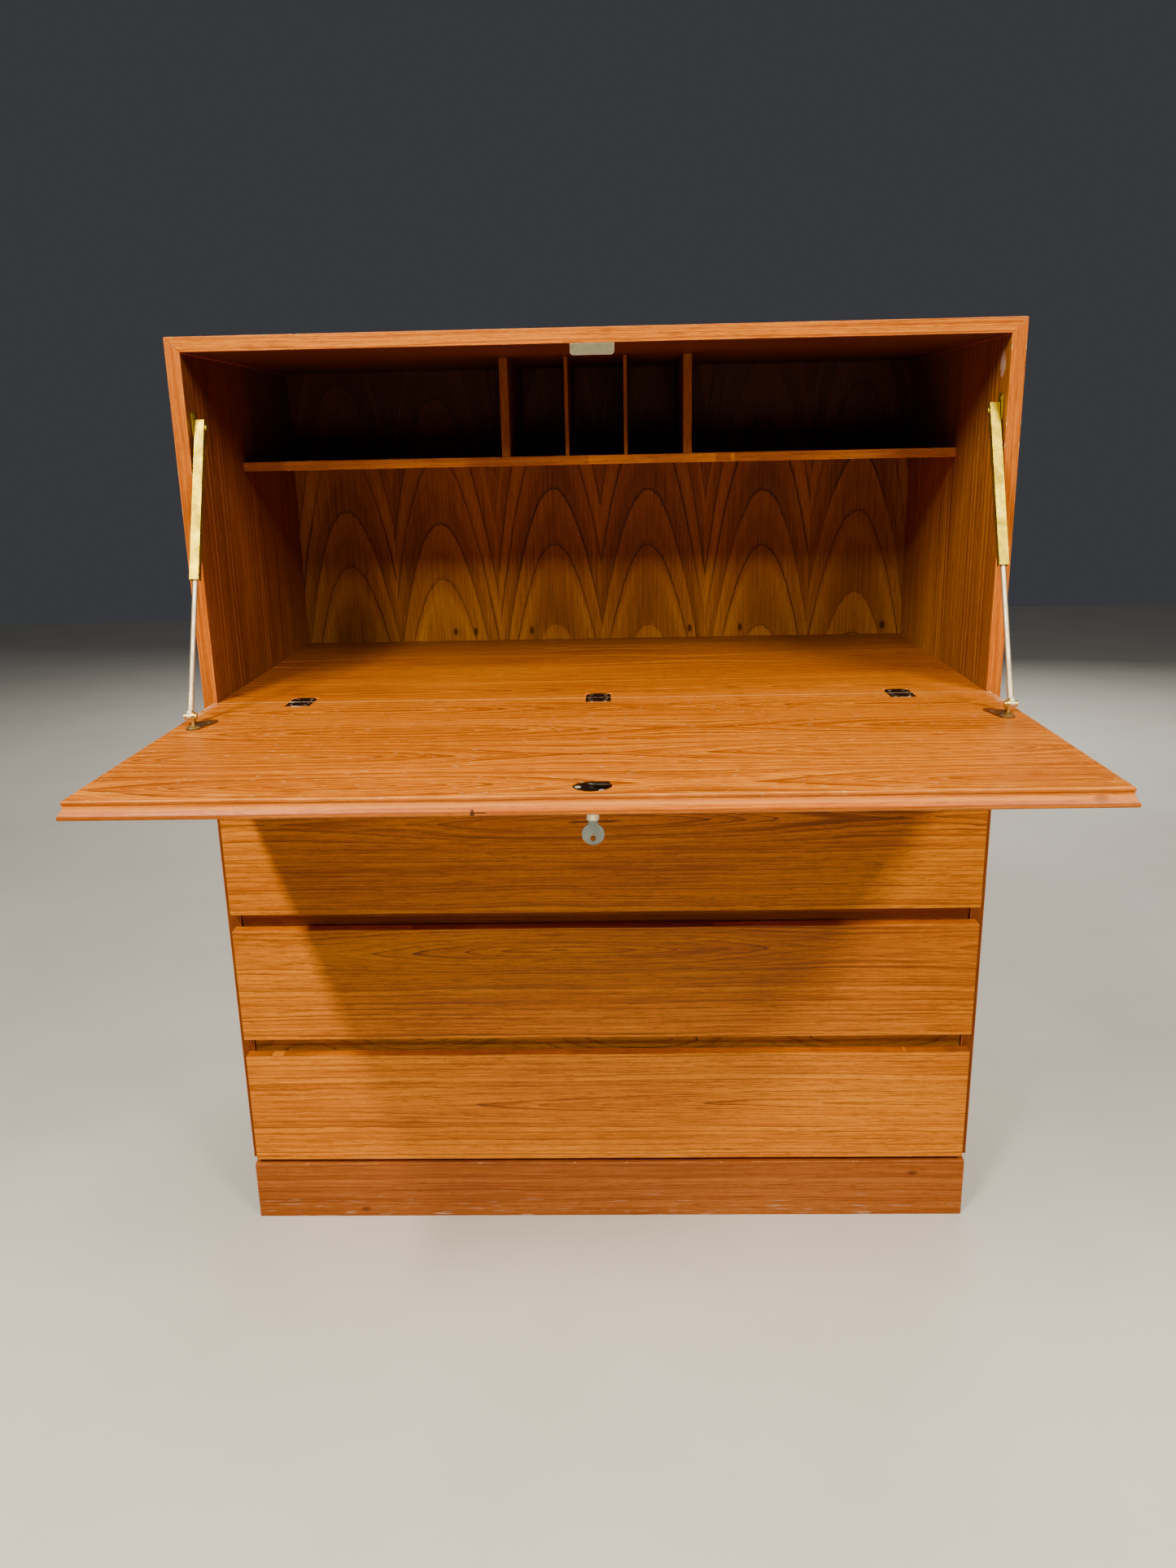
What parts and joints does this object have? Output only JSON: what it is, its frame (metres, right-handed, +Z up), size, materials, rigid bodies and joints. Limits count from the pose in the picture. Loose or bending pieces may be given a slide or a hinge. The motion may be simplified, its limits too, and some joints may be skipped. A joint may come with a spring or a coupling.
{
  "type": "secretary desk",
  "caption": "Rectangular cabinet desk with a fall-front writing lid on telescopic stays, pigeonholes and a shelf inside, and full-width drawers over a recessed plinth.",
  "frame": {"origin": "on the floor, under the middle of the footprint with the lid open", "axes": "+X to the desk's right as seen from the front, +Y from the front to the back, +Z up"},
  "size_m": [0.98, 0.895, 1.154],
  "materials": {
    "teak": "oiled teak veneer, satin, orange brown",
    "teak_edging": "solid teak edging, redder, worn bright along its arris",
    "teak_inner": "oiled teak inside the case, satin",
    "teak_plinth": "red-brown teak, scuffed along the foot",
    "drawer_wood": "pale drawer lining wood, waxed",
    "brass": "lacquered brass, dulled",
    "bronze": "brass darkened to bronze, bright where it rubs",
    "nickel": "nickel plate, satin",
    "steel": "worn nickel-plated steel"
  },
  "bodies": {
    "case": {"side_left": "teak", "side_right": "teak", "top_panel": "teak", "writing_board": "teak", "bottom_panel": "teak_inner", "back_panel": "teak_inner", "plinth_front": "teak_plinth", "plinth_left": "teak_plinth", "plinth_right": "teak_plinth", "plinth_back": "teak_plinth", "shelf": "teak_inner", "divider_outer_left": "teak_inner", "divider_inner_left": "teak_inner", "divider_inner_right": "teak_inner", "divider_outer_right": "teak_inner", "drawer_frame_1": "teak_inner", "drawer_frame_2": "teak_inner", "drawer_frame_3": "teak_inner", "strike_plate": "nickel", "hinge_leaf_desk_left": "bronze", "hinge_leaf_desk_centre": "bronze", "hinge_leaf_desk_right": "bronze", "stay_plate_left": "brass", "stay_plate_right": "brass"},
    "lid": {"lid_panel": "teak", "lid_edge_front": "teak_edging", "lid_edge_left": "teak_edging", "lid_edge_right": "teak_edging", "hinge_leaf_lid_left": "bronze", "hinge_leaf_lid_centre": "bronze", "hinge_leaf_lid_right": "bronze", "lock_case": "brass", "stay_bracket_left": "bronze", "stay_bracket_right": "bronze"},
    "lock": {"lock_cam": "nickel", "key": "steel"},
    "drawer_1": {"drawer_1_front": "teak", "drawer_1_side_left": "drawer_wood", "drawer_1_side_right": "drawer_wood", "drawer_1_back": "drawer_wood", "drawer_1_bottom": "drawer_wood"},
    "drawer_2": {"drawer_2_front": "teak", "drawer_2_side_left": "drawer_wood", "drawer_2_side_right": "drawer_wood", "drawer_2_back": "drawer_wood", "drawer_2_bottom": "drawer_wood"},
    "drawer_3": {"drawer_3_front": "teak", "drawer_3_side_left": "drawer_wood", "drawer_3_side_right": "drawer_wood", "drawer_3_back": "drawer_wood", "drawer_3_bottom": "drawer_wood"},
    "drawer_4": {"drawer_4_front": "teak", "drawer_4_side_left": "drawer_wood", "drawer_4_side_right": "drawer_wood", "drawer_4_back": "drawer_wood", "drawer_4_bottom": "drawer_wood"},
    "stay_rod_left": {"stay_rod_left": "nickel"},
    "stay_channel_left": {"stay_channel_left": "brass"},
    "stay_rod_right": {"stay_rod_right": "nickel"},
    "stay_channel_right": {"stay_channel_right": "brass"}
  },
  "joints": [
    {"name": "lid_hinge", "type": "hinge", "parent": "case", "child": "lid", "pos_m": [0, -0.0225, 0.727], "axis": [-1, 0, 0], "range_deg": [0, 90]},
    {"name": "lock_turn", "type": "hinge", "parent": "lid", "child": "lock", "pos_m": [0, -0.4135, 0.727], "axis": [0, 0, -1], "range_deg": [0, 90]},
    {"name": "drawer_1_slide", "type": "slide", "parent": "case", "child": "drawer_1", "axis": [0, -1, 0], "range_m": [0, 0.3]},
    {"name": "drawer_2_slide", "type": "slide", "parent": "case", "child": "drawer_2", "axis": [0, -1, 0], "range_m": [0, 0.3]},
    {"name": "drawer_3_slide", "type": "slide", "parent": "case", "child": "drawer_3", "axis": [0, -1, 0], "range_m": [0, 0.3]},
    {"name": "drawer_4_slide", "type": "slide", "parent": "case", "child": "drawer_4", "axis": [0, -1, 0], "range_m": [0, 0.3]},
    {"name": "stay_rod_left_pivot", "type": "hinge", "parent": "lid", "child": "stay_rod_left", "pos_m": [-0.464, -0.1395, 0.737], "axis": [1, 0, 0], "range_deg": [0, 110.5]},
    {"name": "stay_left_slide", "type": "slide", "parent": "stay_rod_left", "child": "stay_channel_left", "axis": [0, -0.4016, -0.9158], "range_m": [0, 0.1359]},
    {"name": "stay_rod_right_pivot", "type": "hinge", "parent": "lid", "child": "stay_rod_right", "pos_m": [0.464, -0.1395, 0.737], "axis": [1, 0, 0], "range_deg": [0, 110.5]},
    {"name": "stay_right_slide", "type": "slide", "parent": "stay_rod_right", "child": "stay_channel_right", "axis": [0, -0.4016, -0.9158], "range_m": [0, 0.1359]}
  ],
  "couplings": [
    {"joint": "stay_rod_left_pivot", "follows": "lid_hinge", "ratio": 1.2267},
    {"joint": "stay_left_slide", "follows": "lid_hinge", "m_per_rad": 0.086449},
    {"joint": "stay_rod_right_pivot", "follows": "lid_hinge", "ratio": 1.2267},
    {"joint": "stay_right_slide", "follows": "lid_hinge", "m_per_rad": 0.086449}
  ]
}
